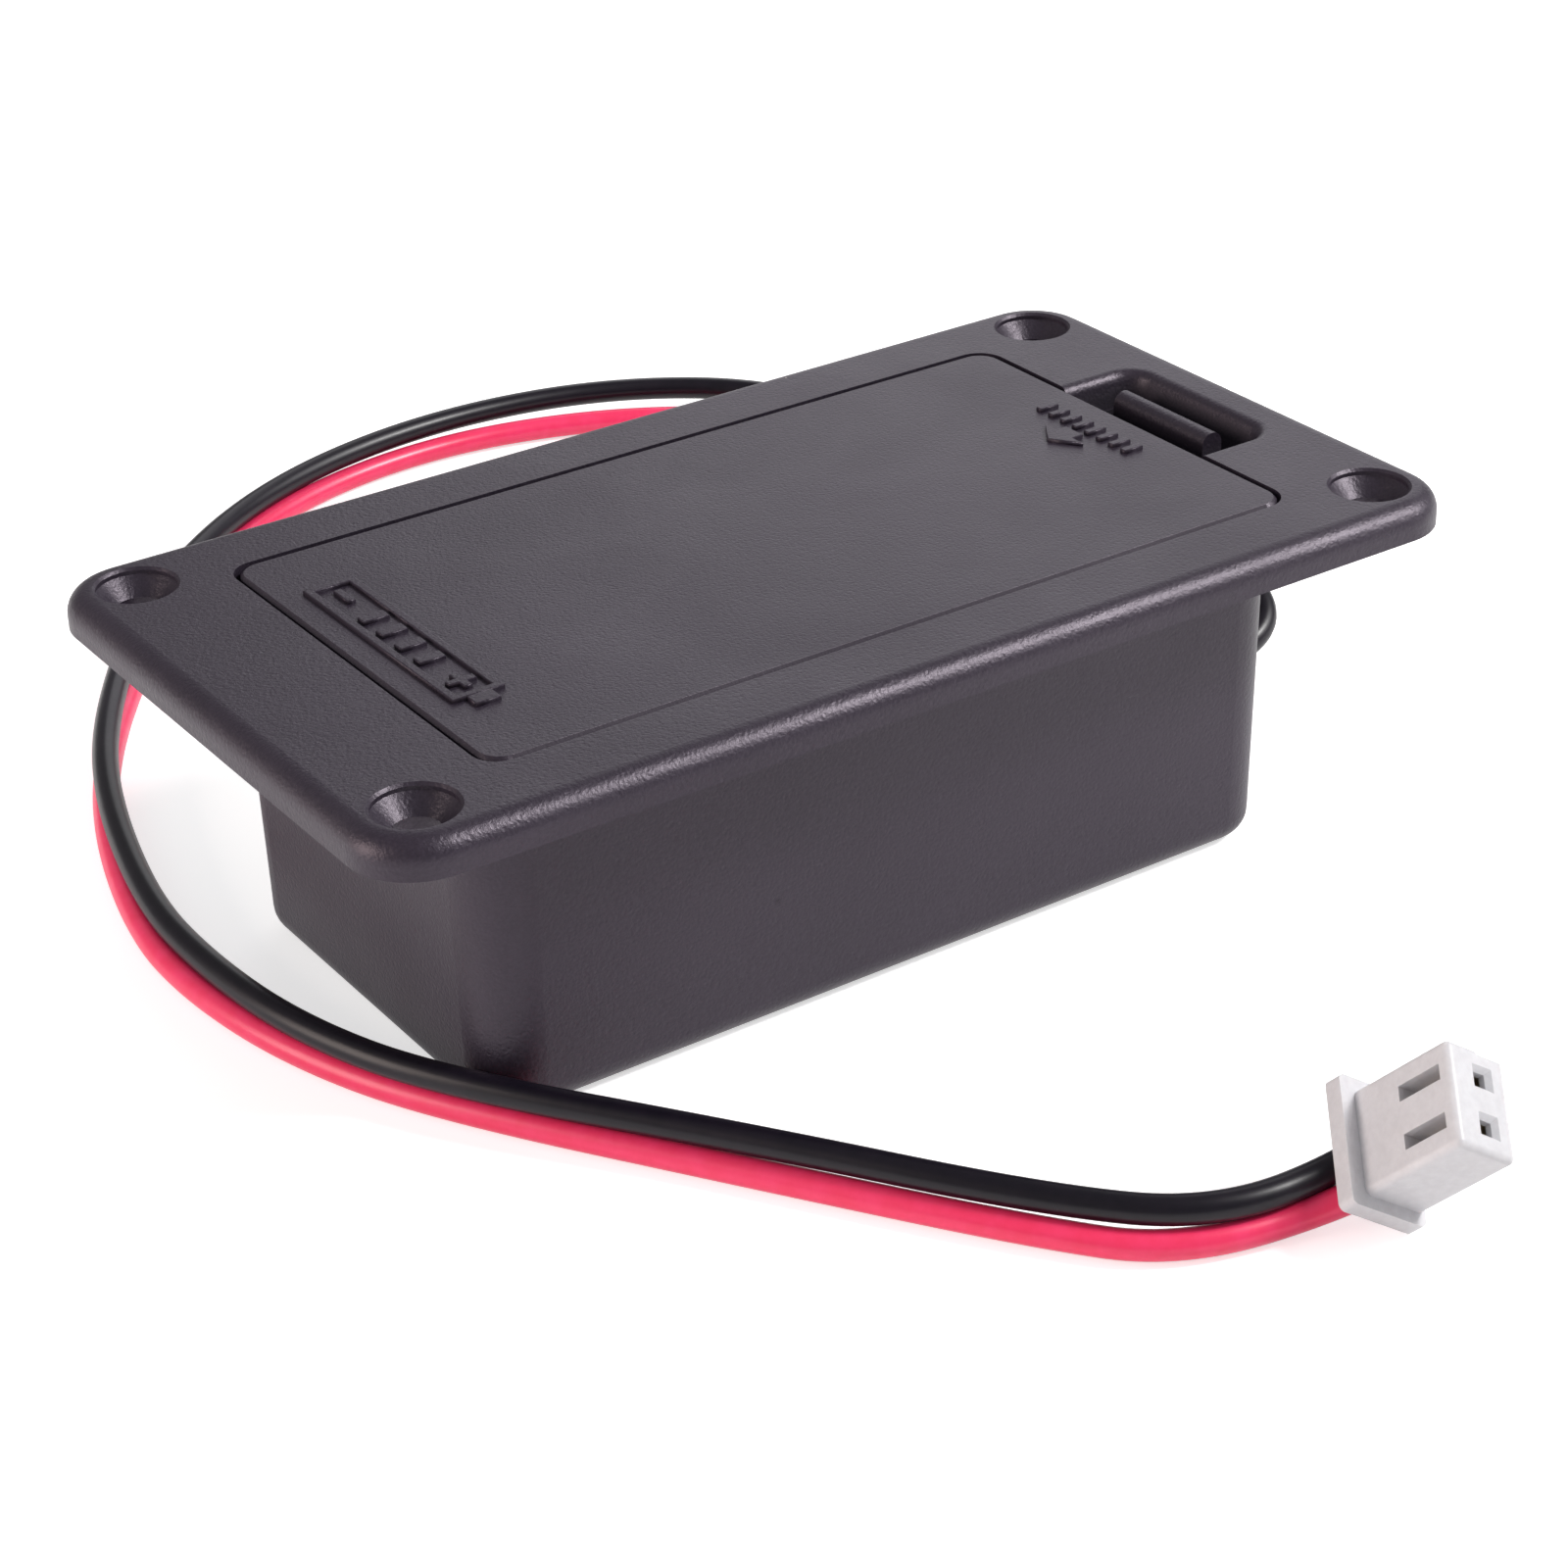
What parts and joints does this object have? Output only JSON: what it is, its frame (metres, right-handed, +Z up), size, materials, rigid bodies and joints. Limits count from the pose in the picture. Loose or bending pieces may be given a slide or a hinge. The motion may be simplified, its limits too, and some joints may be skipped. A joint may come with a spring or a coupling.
{
  "type": "nine volt battery holder",
  "caption": "Flush-mounting box for a nine volt block battery, with a hinged lid, a push latch and two wires to a two-way plug.",
  "frame": {"origin": "centre of the housing's base, under the middle of the flange", "axes": "+Z up out of the panel, +X towards the latch end, +Y to the left of someone who looks along +X"},
  "size_m": [0.1013, 0.1563, 0.028],
  "materials": {
    "housing_plastic": "fine textured matt black",
    "lid_plastic": "fine textured matt black",
    "contact_strip": "nickel plated spring strip",
    "rivet_metal": "plated brass",
    "lug_metal": "tinned brass",
    "conductor": "tinned copper strands",
    "solder": "bright solder",
    "black_insulation": "glossy black",
    "red_insulation": "glossy pinkish red",
    "plug_plastic": "natural off-white, slightly translucent",
    "crimp_metal": "tinned phosphor bronze"
  },
  "bodies": {
    "housing": {"housing": "housing_plastic", "contact_positive": "contact_strip", "contact_negative": "contact_strip", "rivet_positive": "rivet_metal", "rivet_negative": "rivet_metal", "solder_lug_positive": "lug_metal", "solder_lug_negative": "lug_metal", "conductor_end_positive": "conductor", "conductor_end_negative": "conductor", "solder_joint_positive": "solder", "solder_joint_negative": "solder", "black_wire": "black_insulation", "red_wire": "red_insulation", "plug_housing": "plug_plastic", "crimp_contact_black": "crimp_metal", "crimp_contact_red": "crimp_metal"},
    "lid": {"lid": "lid_plastic"}
  },
  "joints": [
    {"name": "lid_hinge", "type": "hinge", "parent": "housing", "child": "lid", "pos_m": [-0.0318, 0, 0.02715], "axis": [0, -1, 0], "range_deg": [0, 95]}
  ]
}
